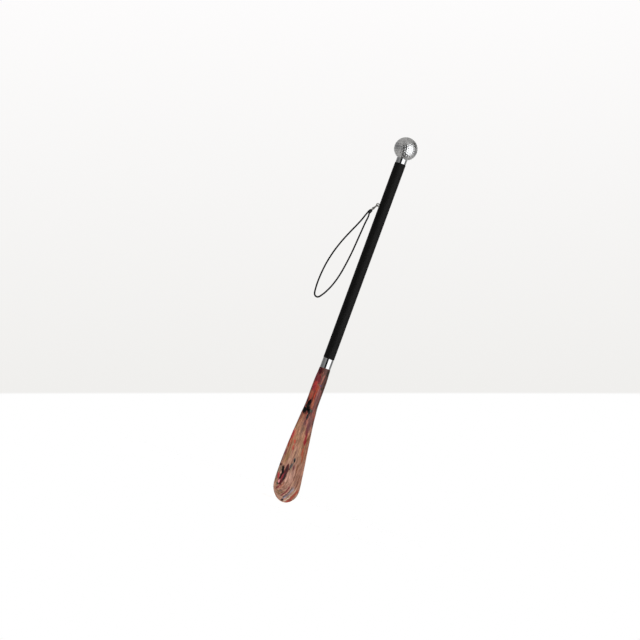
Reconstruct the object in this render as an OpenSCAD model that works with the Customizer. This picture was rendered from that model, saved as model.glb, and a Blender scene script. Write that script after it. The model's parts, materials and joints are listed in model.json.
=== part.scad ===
// Long-handled shoehorn: a hollow metal ball knob, a leather-covered wooden shaft, a metal ferrule
// and a flared wooden spoon, with a wrist cord that hangs from a small screw eye near the top.
// +Z runs up the shaft, the hollow side of the spoon faces -Y, and the cord is on the -X side.
// The origin is the centre of the ball knob. Lengths are in millimetres and angles in degrees.

/* [Knob] */
// Diameter of the ball knob
ball_d = 42.6; // [38:0.2:48]
// Wall thickness of the hollow ball
ball_wall = 3; // [2:0.5:5]
// Diameter of the neck collar under the ball
collar_d = 19.6; // [16:0.2:20]
// Length of the neck collar
collar_h = 9.1; // [6:0.1:16]

/* [Shaft] */
// Length of the leather-covered part of the shaft
shaft_len = 374; // [240:1:500]
// Outside diameter of the leather
leather_d = 20.4; // [18.8:0.1:22]
// Diameter of the wooden core under the leather
core_d = 17.2; // [14:0.1:17.4]
// Number of stitches in the seam at the back
stitch_count = 62; // [20:1:90]

/* [Ferrule] */
// Outside diameter of the ferrule
ferrule_d = 20; // [19:0.1:22]
// Length of the ferrule
ferrule_h = 18.7; // [12:0.1:30]

/* [Blade] */
// Length of the wooden blade below the ferrule
blade_len = 250.7; // [200:0.1:320]
// Greatest width of the spoon
blade_w = 53.6; // [44:0.2:60]
// How far the tip leans forward of the shaft's axis
tip_sweep = 27.5; // [10:0.5:40]
// Depth of the hollow, from the edges to the middle of the spoon's thickness
hollow_depth = 9.5; // [6:0.5:11]
// Height of the rounded end of the spoon
tip_round_h = 30; // [20:1:40]

/* [Wrist cord] */
// Distance of the screw eye below the centre of the ball
eye_drop = 112; // [80:1:150]
// Diameter of the cord
cord_d = 3; // [1.6:0.1:3]

/* [Hidden] */
$fn = 64;

// Levels along the shaft, from the top down
collar_top = -sqrt(pow(ball_d / 2, 2) - pow(collar_d / 2, 2));
shaft_top = collar_top - collar_h;
ferrule_top = shaft_top - shaft_len;
blade_top = ferrule_top - ferrule_h;
tip_z = blade_top - blade_len;
joint_z = ferrule_top - ferrule_h / 2;

// Fasteners on the axis
stud_d = 8;
stud_top = -6;
stud_len = 42;
stud_chamfer = 1;
insert_d = 11;
insert_flange_d = 14;
insert_flange_h = 1.5;
insert_len = 20;
boss_d = 14;
boss_h = 8;
dowel_d = 5;
dowel_half = 26;
dowel_point = 6;

// Edges, fits and seam
edge_r = 0.7;
fit_gap = 0.1;
stitch_t = 0.5;
stitch_w = 0.9;
stitch_span = 28;
stitch_end_gap = 6;

// Stations down the blade, each as [height above the tip over blade_len, half width over half of
// blade_w, half thickness in mm, depth of the hollow over hollow_depth, squareness of the section].
// A squareness of 2 is an ellipse, and a larger one is a flat sheet with rounded edges.
STATIONS = [
    [1.00, 0.383, 10.25, 0, 2],
    [0.90, 0.435, 11.65, 0, 2],
    [0.72, 0.440, 11.75, 0, 2],
    [0.66, 0.505, 10.4, 0.05, 2.1],
    [0.58, 0.585, 6.9, 0.35, 2.5],
    [0.50, 0.685, 3.9, 0.72, 3.1],
    [0.40, 0.790, 2.6, 0.95, 3.6],
    [0.28, 0.900, 2.2, 1, 3.8],
    [0.16, 0.980, 1.9, 0.92, 3.8],
    [0.08, 1.000, 1.6, 0.62, 3.6],
    [0.00, 1.000, 1.4, 0.12, 3.4]
];
HALF_WIDTH = 1;
HALF_THICK = 2;
HOLLOW = 3;
SQUARE = 4;
section_sides = 44;
neck_rings = 14;
spoon_rings = 30;
tip_rings = 20;
spoon_share = 0.7;
tip_thinning = 0.7;
sweep_start = 0.735;
sweep_power = 1.8;
tenon_gap = 0.4;
tenon_h = ferrule_h / 2 - tenon_gap;

// Screw eye and link, in the plane of the cord
eye_r = 2.6;
eye_wire_r = 0.9;
eye_x = -(leather_d / 2 + eye_r + eye_wire_r + fit_gap);
shank_d = 2.2;
shank_depth = 8;
shank_point = 3;
link_lean = 35;
link_bow_r = 2.1;
link_wire_r = 0.9;
link_straight = 5.6;
cord_lean = 30;
crimp_r = 1.9;
crimp_wire_r = 0.7;
barrel_d = 3.6;
barrel_top = 2.2;
barrel_len = 3.6;
sleeve_d = 6.6;
sleeve_top = 4.4;
sleeve_len = 7;
sleeve_r = 0.4;
strand_gap = 1.6;
strand_tuck = 2;

// A direction in the plane of the cord that leans away from straight down, towards -X
function down(lean) = [-sin(lean), 0, -cos(lean)];
link_top = [eye_x, 0, -eye_drop] + eye_r * down(link_lean);
link_end = link_top + (link_straight + link_bow_r) * down(link_lean);
sleeve_end = link_end + (sleeve_top + sleeve_len) * down(cord_lean);
across = [cos(cord_lean), 0, -sin(cord_lean)];

// Route of the cord, from the sleeve down the outer strand, round the bottom and up the inner one
CORD_ROUTE = [
    [-30, 0, -137.5],
    [-33.3, 0.4, -147],
    [-38, 0.8, -158],
    [-46, 1.2, -175],
    [-54.8, 1.5, -195],
    [-62.6, 1.5, -217],
    [-68.4, 1.2, -240],
    [-71.2, 0.8, -260],
    [-72.3, 0.4, -279],
    [-71.8, 0, -292],
    [-70.7, 0, -299.6],
    [-68.4, 0, -303.5],
    [-64.5, 0, -305],
    [-60.7, 0, -303.8],
    [-57.8, -0.2, -300.8],
    [-51.3, -0.3, -291.5],
    [-43.4, -0.6, -275],
    [-36.8, -1, -253],
    [-32.3, -1.2, -227],
    [-29.4, -1, -203],
    [-27.2, -0.7, -176],
    [-25.2, -0.3, -152],
    [-23.4, 0, -138]
];
cord_sides = 8;
cord_ring_gap = 2.2 * cord_d;
strand_out = sleeve_end - strand_gap * across;
strand_in = sleeve_end + strand_gap * across;
cord_points = concat(
    [strand_out - strand_tuck * down(cord_lean), strand_out],
    CORD_ROUTE,
    [strand_in, strand_in - strand_tuck * down(cord_lean)]
);

// Value of a smooth curve through b and c, with a and d as the values on either side
function smooth(a, b, c, d, t) =
    0.5 * (2 * b + (c - a) * t + (2 * a - 5 * b + 4 * c - d) * t * t
        + (3 * b - a - 3 * c + d) * t * t * t);

// Value of one column of STATIONS at height v above the tip, as a fraction of blade_len
function station(v, col) =
    let (
        last = len(STATIONS) - 1,
        k = max(1, min(last, len([for (s = STATIONS) if (s[0] > v) s]))),
        hi = STATIONS[k - 1],
        lo = STATIONS[k],
        above = STATIONS[max(0, k - 2)],
        below = STATIONS[min(last, k + 1)],
        t = (hi[0] - v) / (hi[0] - lo[0])
    )
    smooth(above[col], hi[col], lo[col], below[col], t);

function signed_pow(a, e) = sign(a) * pow(abs(a), e);

// Share of the full width left in the rounded end, at height h above the tip
function tip_share(h) = h < tip_round_h ? sqrt(1 - pow(1 - h / tip_round_h, 2)) : 1;

// Forward lean of the spoon at v, measured towards -Y
function sweep_at(v) =
    v < sweep_start ? tip_sweep * pow((sweep_start - v) / sweep_start, sweep_power) : 0;

// One closed section of the blade at height h above the tip
function blade_section(h) =
    let (
        v = h / blade_len,
        half_w = blade_w / 2 * station(v, HALF_WIDTH) * tip_share(h),
        half_t = station(v, HALF_THICK) * pow(tip_share(h), tip_thinning),
        depth = hollow_depth * station(v, HOLLOW) * pow(tip_share(h), 2),
        e = 2 / station(v, SQUARE)
    )
    [
        for (i = [0 : section_sides - 1])
            let (
                a = 360 * i / section_sides,
                s = signed_pow(cos(a), e),
                q = signed_pow(sin(a), e)
            )
            [half_w * s, depth * (1 - s * s) - sweep_at(v) + half_t * q, tip_z + h]
    ];

// Section of the tenon at level z
function tenon_section(z, d) =
    [
        for (i = [0 : section_sides - 1])
            let (a = 360 * i / section_sides)
            [d / 2 * cos(a), d / 2 * sin(a), z]
    ];

// Heights of the blade's sections above the tip, closer together where the end curves in
spoon_top = spoon_share * blade_len;
blade_heights = concat(
    [for (i = [0 : neck_rings]) blade_len + (spoon_top - blade_len) * i / neck_rings],
    [for (i = [1 : spoon_rings]) spoon_top + (tip_round_h - spoon_top) * i / spoon_rings],
    [for (i = [1 : tip_rings - 1]) tip_round_h * (1 - sin(90 * i / tip_rings))]
);

// Points of a tube's profile with rounded outer edges, between levels z0 and z1
function round_edged(r_in, r_out, z0, z1, r) =
    concat(
        [[r_in, z0]],
        [for (a = [-90 : 15 : 0]) [r_out - r + r * cos(a), z0 + r + r * sin(a)]],
        [for (a = [0 : 15 : 90]) [r_out - r + r * cos(a), z1 - r + r * sin(a)]],
        [[r_in, z1]]
    );

module tube(r_in, r_out, z0, z1, r) {
    rotate_extrude() polygon(round_edged(r_in, r_out, z0, z1, r));
}

module torus(ring_r, wire_r) {
    rotate_extrude() translate([ring_r, 0]) circle(wire_r);
}

// Closed solid through a list of rings that all have the same number of points
module loft(rings) {
    sides = len(rings[0]);
    count = len(rings);
    points = [for (ring = rings) for (p = ring) p];
    wall = [
        for (r = [0 : count - 2])
            for (i = [0 : sides - 1])
                let (
                    j = (i + 1) % sides,
                    a = r * sides + i,
                    b = r * sides + j,
                    c = (r + 1) * sides + j,
                    d = (r + 1) * sides + i
                )
                each [[a, b, c], [a, c, d]]
    ];
    first_cap = [[for (i = [sides - 1 : -1 : 0]) i]];
    last_cap = [[for (i = [0 : sides - 1]) (count - 1) * sides + i]];
    polyhedron(points, concat(wall, first_cap, last_cap));
}

// Puts children that point along +Z at a place, pointing along a lean in the cord's plane
module hang(place, lean) {
    translate(place) rotate([0, 180 + lean, 0]) children();
}

// Hollow ball with a flat seat for the collar and a threaded boss inside
module ball_knob() {
    seat_r = collar_d / 2;
    ball_r = ball_d / 2;
    color("silver") difference() {
        union() {
            difference() {
                sphere(ball_r, $fn = 96);
                sphere(ball_r - ball_wall, $fn = 96);
                translate([0, 0, -ball_d - ball_wall]) cylinder(h = ball_d + ball_wall + collar_top, r = ball_d);
            }
            translate([0, 0, collar_top]) cylinder(h = boss_h, d = boss_d);
        }
        translate([0, 0, -ball_d]) cylinder(h = ball_d + collar_top + boss_h + 1, d = stud_d);
    }
}

// Threaded stud from the ball's boss, through the collar, into the insert
module knob_stud() {
    r = stud_d / 2;
    color("dimgray") translate([0, 0, stud_top - stud_len]) rotate_extrude() polygon([
        [0, 0],
        [r - stud_chamfer, 0],
        [r, stud_chamfer],
        [r, stud_len - stud_chamfer],
        [r - stud_chamfer, stud_len],
        [0, stud_len]
    ]);
}

// Neck collar with rounded rims
module knob_collar() {
    color("silver") tube(stud_d / 2, collar_d / 2, shaft_top, collar_top, edge_r);
}

// Flanged insert, sunk flush with the top of the core
module threaded_insert() {
    color("goldenrod") difference() {
        union() {
            translate([0, 0, shaft_top - insert_len]) cylinder(h = insert_len, d = insert_d);
            translate([0, 0, shaft_top - insert_flange_h]) cylinder(h = insert_flange_h, d = insert_flange_d);
        }
        translate([0, 0, shaft_top - insert_len - 1]) cylinder(h = insert_len + 2, d = stud_d);
    }
}

// Wooden dowel with its holes for the insert, the stud, the dowel screw and the screw eye
module shaft_core() {
    color("burlywood") difference() {
        translate([0, 0, joint_z]) cylinder(h = shaft_top - joint_z, d = core_d);
        translate([0, 0, shaft_top - insert_len]) cylinder(h = insert_len + 1, d = insert_d);
        translate([0, 0, shaft_top - insert_flange_h]) cylinder(h = insert_flange_h + 1, d = insert_flange_d);
        translate([0, 0, joint_z - 1]) cylinder(h = dowel_half + 1, d = dowel_d);
        eye_hole();
    }
}

// Space that the screw eye's shank takes in the core and the leather
module eye_hole() {
    tip_x = shank_depth - core_d / 2;
    translate([-leather_d, 0, -eye_drop]) rotate([0, 90, 0]) cylinder(h = leather_d + tip_x, d = shank_d);
}

// Leather tube with turned edges, pierced for the screw eye
module leather_sleeve() {
    color([0.09, 0.09, 0.09]) difference() {
        tube(core_d / 2, leather_d / 2, ferrule_top, shaft_top, edge_r);
        eye_hole();
    }
}

// Row of stitches across the seam at the back, each an arc that lies on the leather
module seam_thread() {
    first = shaft_top - stitch_end_gap;
    pitch = (shaft_len - 2 * stitch_end_gap) / (stitch_count - 1);
    for (i = [0 : stitch_count - 1])
        color([0.16, 0.16, 0.16])
            translate([0, 0, first - i * pitch])
                rotate([0, 0, 90 - stitch_span / 2])
                    rotate_extrude(angle = stitch_span)
                        translate([leather_d / 2, -stitch_w / 2])
                            square([stitch_t, stitch_w]);
}

// Ferrule with rounded rims, over the joint between the core and the blade
module ferrule() {
    color("silver") tube(core_d / 2, ferrule_d / 2, blade_top, ferrule_top, edge_r);
}

// Double-ended wood screw between the core and the blade
module dowel_screw() {
    r = dowel_d / 2;
    color("dimgray") translate([0, 0, joint_z]) rotate_extrude() polygon([
        [0, -dowel_half],
        [r, dowel_point - dowel_half],
        [r, dowel_half - dowel_point],
        [0, dowel_half]
    ]);
}

// Wooden blade: tenon, round neck and hollowed spoon
module blade() {
    tenon_d = core_d - fit_gap;
    color([0.62, 0.36, 0.24]) difference() {
        loft(concat(
            [tenon_section(blade_top + tenon_h, tenon_d), tenon_section(blade_top, tenon_d)],
            [for (h = blade_heights) blade_section(h)]
        ));
        translate([0, 0, joint_z - dowel_half]) cylinder(h = 2 * dowel_half, d = dowel_d);
    }
}

// Screw eye whose hole runs along Y
module screw_eye() {
    shank_len = shank_depth + (leather_d - core_d) / 2;
    color("lightgray") translate([eye_x, 0, -eye_drop]) {
        rotate([90, 0, 0]) torus(eye_r, eye_wire_r, $fn = 48);
        translate([eye_r, 0, 0]) rotate([0, 90, 0])
            cylinder(h = shank_len + eye_wire_r - shank_point, d = shank_d);
        translate([eye_r + shank_len + eye_wire_r - shank_point, 0, 0]) rotate([0, 90, 0])
            rotate_extrude() polygon([[0, 0], [shank_d / 2, 0], [0, shank_point]]);
    }
}

// Half of the link's round end, opening towards -Z
module link_bow() {
    rotate([90, 0, 90]) rotate_extrude(angle = 180) translate([link_bow_r, 0]) circle(link_wire_r);
}

// Long link, seen edge on from the front
module jump_ring() {
    color("gainsboro") hang(link_top, link_lean) {
        rotate([180, 0, 0]) link_bow();
        translate([0, 0, link_straight]) link_bow();
        for (side = [-1, 1])
            translate([0, side * link_bow_r, 0]) cylinder(h = link_straight, r = link_wire_r);
    }
}

// Wire loop and barrel that hang on the link
module cord_crimp() {
    color("gainsboro") hang(link_end, cord_lean) {
        rotate([90, 0, 0]) torus(crimp_r, crimp_wire_r, $fn = 48);
        translate([0, 0, barrel_top]) cylinder(h = barrel_len, d = barrel_d);
    }
}

// Sleeve round the barrel and both ends of the cord
module cord_sleeve() {
    socket = barrel_top + barrel_len - sleeve_top;
    color([0.05, 0.05, 0.05]) hang(link_end, cord_lean) translate([0, 0, sleeve_top]) difference() {
        tube(0, sleeve_d / 2, 0, sleeve_len, sleeve_r);
        translate([0, 0, -1]) cylinder(h = socket + 1, d = barrel_d);
    }
}

// Points along the cord, about cord_ring_gap apart
function cord_path(pts) =
    let (last = len(pts) - 1)
    concat(
        [
            for (i = [0 : last - 1])
                let (steps = max(1, round(norm(pts[i + 1] - pts[i]) / cord_ring_gap)))
                for (k = [0 : steps - 1])
                    smooth(pts[max(0, i - 1)], pts[i], pts[i + 1], pts[min(last, i + 2)], k / steps)
        ],
        [pts[last]]
    );

function unit(v) = v / norm(v);

// Ring of points round a place on the cord, square to its direction
function cord_ring(place, dir) =
    let (
        u = unit(cross([0, 1, 0], dir)),
        w = cross(u, dir)
    )
    [
        for (i = [0 : cord_sides - 1])
            let (a = 360 * i / cord_sides)
            place + cord_d / 2 * (cos(a) * u + sin(a) * w)
    ];

// Cord in one teardrop loop, both ends tucked into the sleeve
module cord_loop() {
    path = cord_path(cord_points);
    last = len(path) - 1;
    color([0.07, 0.07, 0.07]) loft([
        for (i = [0 : last])
            cord_ring(path[i], unit(path[min(last, i + 1)] - path[max(0, i - 1)]))
    ]);
}

ball_knob();
knob_stud();
knob_collar();
threaded_insert();
shaft_core();
leather_sleeve();
seam_thread();
ferrule();
dowel_screw();
blade();
screw_eye();
jump_ring();
cord_crimp();
cord_sleeve();
cord_loop();
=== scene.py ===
"""Looks of a long-handled shoehorn: dimpled chrome ball, leather-covered shaft, chrome ferrule,
lacquered burl blade, and a thin wrist cord on a small screw eye.

Lengths are in metres in the CAD's frame. The ball's centre is the origin, +Z runs up the shaft, the
hollow side of the blade faces -Y, and the cord is on the -X side.
"""

import json
import math

import bmesh
import bpy
import numpy as np
from mathutils import Matrix, Vector


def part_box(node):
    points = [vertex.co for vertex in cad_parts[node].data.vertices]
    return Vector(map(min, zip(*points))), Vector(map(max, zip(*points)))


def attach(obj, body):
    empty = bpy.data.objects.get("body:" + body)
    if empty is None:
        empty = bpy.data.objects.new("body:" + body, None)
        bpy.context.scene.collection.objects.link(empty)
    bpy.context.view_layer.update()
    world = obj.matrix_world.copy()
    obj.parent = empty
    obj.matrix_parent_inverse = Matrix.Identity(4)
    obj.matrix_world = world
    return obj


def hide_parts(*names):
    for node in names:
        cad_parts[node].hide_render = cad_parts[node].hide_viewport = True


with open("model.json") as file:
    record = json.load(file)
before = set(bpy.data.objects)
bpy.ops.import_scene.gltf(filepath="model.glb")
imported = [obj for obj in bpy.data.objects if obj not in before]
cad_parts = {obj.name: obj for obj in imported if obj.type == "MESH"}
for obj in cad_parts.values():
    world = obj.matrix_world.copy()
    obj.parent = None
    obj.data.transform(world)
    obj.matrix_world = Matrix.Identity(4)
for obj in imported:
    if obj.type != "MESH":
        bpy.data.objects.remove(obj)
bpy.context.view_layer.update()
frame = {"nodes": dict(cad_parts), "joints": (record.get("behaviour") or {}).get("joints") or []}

MM = 0.001
SEED = 7
rng = np.random.default_rng(SEED)

# Places and sizes read from the frame
BALL_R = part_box("ball_knob")[1].z
SEAT_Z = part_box("ball_knob")[0].z
STUD_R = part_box("knob_stud")[1].x
LEATHER_LOW, LEATHER_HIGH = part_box("leather_sleeve")
LEATHER_R = LEATHER_HIGH.x
CORE_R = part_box("shaft_core")[1].x
BLADE_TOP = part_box("ferrule")[0].z
BLADE_LOW, BLADE_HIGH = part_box("blade")
TIP_Z = BLADE_LOW.z
EYE_LOW, EYE_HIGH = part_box("screw_eye")
JOINTS = {joint["name"]: joint for joint in frame["joints"]}
LINK_TOP = Vector(JOINTS["ring_swing"]["pos_m"])
LINK_END = Vector(JOINTS["loop_swing"]["pos_m"])


# --- Camera ---

VIEW_TURN = math.radians(-24.0)  # the camera stands on the -X side of the hollow face
VIEW_LEAN = math.radians(20.2)  # the shaft's top leans this far to the right in the picture
VIEW_DISTANCE = 6.0
VIEW_WIDTH = 1.152
VIEW_ASIDE = 0.0387  # how far the picture's centre lies to the left of the shaft's axis
VIEW_DROP = 0.3421  # how far the picture's centre lies below the ball
SENSOR = 36.0

VIEW_BACK = Vector((math.sin(VIEW_TURN), -math.cos(VIEW_TURN), 0.0))
VIEW_RIGHT = Vector((math.cos(VIEW_TURN), math.sin(VIEW_TURN), 0.0))
UP = Vector((0.0, 0.0, 1.0))
PICTURE_RIGHT = VIEW_RIGHT * math.cos(VIEW_LEAN) + UP * math.sin(VIEW_LEAN)
PICTURE_UP = UP * math.cos(VIEW_LEAN) - VIEW_RIGHT * math.sin(VIEW_LEAN)


def add_object(name, data):
    """A new object in the scene that shows the data."""
    made = bpy.data.objects.new(name, data)
    bpy.context.scene.collection.objects.link(made)
    return made


def make_camera():
    """A long lens, level with the middle of the object and rolled so that the shaft leans."""
    data = bpy.data.cameras.new("camera")
    data.sensor_width = SENSOR
    data.lens = SENSOR * VIEW_DISTANCE / VIEW_WIDTH
    camera = add_object("camera", data)
    aim = VIEW_RIGHT * -VIEW_ASIDE + UP * -VIEW_DROP
    place = aim + VIEW_BACK * VIEW_DISTANCE
    rows = [(PICTURE_RIGHT[i], PICTURE_UP[i], VIEW_BACK[i], place[i]) for i in range(3)]
    camera.matrix_world = Matrix([*rows, (0, 0, 0, 1)])
    bpy.context.scene.camera = camera


make_camera()


# --- Mesh helpers ---


def shade_smooth(mesh):
    """Rounds the shading of every face."""
    mesh.polygons.foreach_set("use_smooth", [True] * len(mesh.polygons))


def add_mesh(name, verts, faces):
    """A smooth-shaded object from lists of points and faces."""
    mesh = bpy.data.meshes.new(name)
    mesh.from_pydata([tuple(v) for v in verts], [], faces)
    mesh.validate()
    shade_smooth(mesh)
    mesh.update()
    return add_object(name, mesh)


def grid_faces(rows, sides, closed=False):
    """Quads between rows of points that each go once round."""
    count = rows if closed else rows - 1
    return [
        (
            r * sides + i,
            r * sides + (i + 1) % sides,
            (r + 1) % rows * sides + (i + 1) % sides,
            (r + 1) % rows * sides + i,
        )
        for r in range(count)
        for i in range(sides)
    ]


def lathe(name, profile, sides):
    """A closed profile of (radius, z) points turned round the shaft's axis."""
    turns = [2 * math.pi * i / sides for i in range(sides)]
    verts = [(r * math.cos(a), r * math.sin(a), z) for r, z in profile for a in turns]
    return add_mesh(name, verts, grid_faces(len(profile), sides, closed=True))


def arc(centre, radius, start, end, steps):
    """Points (r, z) on an arc, with angles in degrees."""
    turns = np.radians(np.linspace(start, end, steps))
    return [(centre[0] + radius * math.cos(a), centre[1] + radius * math.sin(a)) for a in turns]


def path_frames(points, closed=False):
    """Unit directions along a path, with a side vector carried along it without twisting."""
    pts = np.array(points, float)
    if closed:
        ahead = np.roll(pts, -1, 0) - np.roll(pts, 1, 0)
    else:
        ahead = np.gradient(pts, axis=0)
    ahead /= np.linalg.norm(ahead, axis=1)[:, None]
    side = np.cross(ahead[0], (0, 1, 0))
    if np.linalg.norm(side) < 0.1:
        side = np.cross(ahead[0], (1, 0, 0))
    sides = []
    for direction in ahead:
        side = side - direction * (side @ direction)
        side = side / np.linalg.norm(side)
        sides.append(side)
    return pts, ahead, np.array(sides)


def sweep(name, points, radius, sides=16, closed=False, relief=None):
    """A round tube along a path. radius is a number or one number a point, and relief(turn, row)
    is added to it."""
    pts, ahead, first = path_frames(points, closed)
    second = np.cross(ahead, first)
    turn = np.linspace(0, 2 * math.pi, sides, endpoint=False)
    row = np.arange(len(pts))[:, None]
    r = np.broadcast_to(np.reshape(radius, (-1, 1)), (len(pts), sides)).astype(float)
    if relief is not None:
        r = r + relief(turn[None, :], row)
    ring = first[:, None, :] * np.cos(turn)[None, :, None]
    ring = ring + second[:, None, :] * np.sin(turn)[None, :, None]
    verts = (pts[:, None, :] + ring * r[:, :, None]).reshape(-1, 3)
    faces = grid_faces(len(pts), sides, closed)
    if not closed:
        last = (len(pts) - 1) * sides
        faces += [tuple(range(sides))[::-1], tuple(range(last, last + sides))]
    return add_mesh(name, verts, faces)


def join(name, pieces):
    """One object out of several."""
    target = pieces[0]
    with bpy.context.temp_override(active_object=target, selected_editable_objects=pieces):
        bpy.ops.object.join()
    target.name = name
    target.data.name = name
    return target


def catmull_rom(a, b, c, d, t):
    """Value at share t of the way from b to c, on the smooth curve through a, b, c and d."""
    bend = (2 * a - 5 * b + 4 * c - d) * t * t
    return 0.5 * (2 * b + (c - a) * t + bend + (3 * b - a - 3 * c + d) * t**3)


def smooth_path(points, gap):
    """Smooth curve through the points, with a point about every gap."""
    p = [np.array(q, float) for q in points]
    p = [p[0], *p, p[-1]]
    made = []
    for a, b, c, d in zip(p, p[1:], p[2:], p[3:]):
        steps = max(1, round(float(np.linalg.norm(c - b)) / gap))
        made += [catmull_rom(a, b, c, d, k / steps) for k in range(steps)]
    return np.array([*made, p[-1]])


# --- Cord ---

CORD_R = 1.5 * MM
CORD_LEAN = math.radians(30.0)
SLEEVE_TOP = 4.4 * MM
SLEEVE_LENGTH = 7.0 * MM
SLEEVE_R = 3.3 * MM
STRAND_GAP = 1.6 * MM
STRAND_TUCK = 2.0 * MM
CORD_STEP = 0.5 * MM
BRAID_PITCH = 6.0 * MM
BRAID_STRANDS = 4
BRAID_DEPTH = 0.13 * MM
BRAID_LEVEL = 0.6  # height of the waves that lies at the cord's own radius
CORD_SIDES = 24
# Route in millimetres, from the sleeve down the outer strand, round and up the inner one
CORD_ROUTE = [
    (-30, 0, -137.5),
    (-33.3, 0.4, -147),
    (-38, 0.8, -158),
    (-46, 1.2, -175),
    (-54.8, 1.5, -195),
    (-62.6, 1.5, -217),
    (-68.4, 1.2, -240),
    (-71.2, 0.8, -260),
    (-72.3, 0.4, -279),
    (-71.8, 0, -292),
    (-70.7, 0, -299.6),
    (-68.4, 0, -303.5),
    (-64.5, 0, -305),
    (-60.7, 0, -303.8),
    (-57.8, -0.2, -300.8),
    (-51.3, -0.3, -291.5),
    (-43.4, -0.6, -275),
    (-36.8, -1, -253),
    (-32.3, -1.2, -227),
    (-29.4, -1, -203),
    (-27.2, -0.7, -176),
    (-25.2, -0.3, -152),
    (-23.4, 0, -138),
]
CORD_DOWN = Vector((-math.sin(CORD_LEAN), 0, -math.cos(CORD_LEAN)))
CORD_ACROSS = Vector((math.cos(CORD_LEAN), 0, -math.sin(CORD_LEAN)))
SLEEVE_END = LINK_END + CORD_DOWN * (SLEEVE_TOP + SLEEVE_LENGTH)


def braid(turn, row):
    """Relief of strands that wind both ways round the cord, over and under each other."""
    along = row * CORD_STEP / BRAID_PITCH * 2 * math.pi
    one = np.sin(BRAID_STRANDS * turn + along * 2)
    other = np.sin(BRAID_STRANDS * turn - along * 2)
    return BRAID_DEPTH * (np.maximum(one, other) - BRAID_LEVEL)


def make_cord():
    """The wrist cord in one teardrop loop, with both ends in the sleeve."""
    out = SLEEVE_END - CORD_ACROSS * STRAND_GAP
    back = SLEEVE_END + CORD_ACROSS * STRAND_GAP
    tuck = CORD_DOWN * STRAND_TUCK
    route = [out - tuck, out, *[Vector(p) * MM for p in CORD_ROUTE], back, back - tuck]
    path = smooth_path(route, CORD_STEP)
    cord = sweep("wrist_cord", path, CORD_R, CORD_SIDES, relief=braid)
    length = float(np.linalg.norm(np.diff(path, axis=0), axis=1).sum())
    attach(cord, "loop")
    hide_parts("cord_loop")
    return cord, path, length


cord, cord_path, cord_length = make_cord()


# --- Fittings of the cord ---

EYE_WIRE_R = 0.9 * MM
EYE_R = 2.6 * MM
EYE_SHANK = (5.2 * MM, 4.4 * MM, 3.4 * MM)  # points on the shank, from the centre of the eye
EYE_ARC = (16, 338)  # degrees between which the wire runs round the eye
LINK_BOW_R = 2.1 * MM
LINK_WIRE_R = 0.9 * MM
LINK_CUT = 0.12 * MM  # half the gap between the link's two ends
CRIMP_R = 1.9 * MM
CRIMP_WIRE_R = 0.7 * MM
BARREL_R = 1.8 * MM
BARREL_TOP = 2.2 * MM
BARREL_END = 5.8 * MM
# Dent of the barrel, swell and ribs of the sleeve, as shares of their radius and length
DENT_DEPTH = 0.14
DENT_PLACE = 0.45
DENT_WIDTH = 0.1
SLEEVE_SWELL = 0.22
SWELL_REACH = 0.7
RIB_COUNT = 5
RIB_DEPTH = 0.03
WIRE_SIDES = 24
BARREL_SIDES = 32
SLEEVE_SIDES = 48
EYE_POINTS = 24
BOW_POINTS = 15
CRIMP_POINTS = 64
BARREL_POINTS = 40
SLEEVE_POINTS = 60
FITTING_STEP = 0.15 * MM


def make_screw_eye():
    """Wire bent into an eye, whose end closes against its own shank."""
    centre = Vector((EYE_LOW.x + EYE_R + EYE_WIRE_R, 0, (EYE_LOW.z + EYE_HIGH.z) / 2))
    shank = [centre + Vector((x, 0, 0)) for x in EYE_SHANK]
    ring = [
        centre + EYE_R * Vector((math.cos(a), 0, math.sin(a)))
        for a in np.radians(np.linspace(*EYE_ARC, EYE_POINTS))
    ]
    eye = sweep("eye", smooth_path(shank + ring, FITTING_STEP), EYE_WIRE_R, WIRE_SIDES)
    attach(eye, "handle")
    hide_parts("screw_eye")
    return eye


def make_link():
    """Long oval link of bent wire, with the cut between its two ends on one straight side."""
    along = (LINK_END - LINK_TOP).normalized()
    straight = (LINK_END - LINK_TOP).length - LINK_BOW_R
    flat = [(straight / 2 + LINK_CUT, LINK_BOW_R)]
    for end, bow in ((straight, LINK_BOW_R), (0, -LINK_BOW_R)):
        turns = np.linspace(0, math.pi, BOW_POINTS)
        flat += [(end + bow * math.sin(a), bow * math.cos(a)) for a in turns]
    flat += [(straight / 2 - LINK_CUT, LINK_BOW_R)]
    points = [LINK_TOP + along * s + Vector((0, y, 0)) for s, y in flat]
    link = sweep("link", smooth_path(points, FITTING_STEP), LINK_WIRE_R, WIRE_SIDES)
    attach(link, "ring")
    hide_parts("jump_ring")
    return link


def rounded_end(share, reach, drop):
    """Radius shares of a tube that rounds in over a reach from its end at share 0."""
    return np.sqrt(1 - np.clip(1 - share / reach, 0, 1) ** 2 * drop)


def make_crimp():
    """Wire loop on the link, and the pressed barrel that holds it to the sleeve."""
    turns = np.linspace(0, 2 * math.pi, CRIMP_POINTS, endpoint=False)
    ring = [LINK_END + CRIMP_R * Vector((math.cos(a), 0, math.sin(a))) for a in turns]
    loop = sweep("crimp_loop", ring, CRIMP_WIRE_R, WIRE_SIDES, closed=True)
    share = np.linspace(0, 1, BARREL_POINTS)
    points = [LINK_END + CORD_DOWN * (BARREL_TOP + (BARREL_END - BARREL_TOP) * s) for s in share]
    rounded = rounded_end(share, reach=0.12, drop=0.75)
    dent = 1 - DENT_DEPTH * np.exp(-(((share - DENT_PLACE) / DENT_WIDTH) ** 2))
    barrel = sweep("barrel", points, BARREL_R * rounded * dent, BARREL_SIDES)
    crimp = join("crimp", [loop, barrel])
    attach(crimp, "loop")
    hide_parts("cord_crimp")
    return crimp


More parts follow.
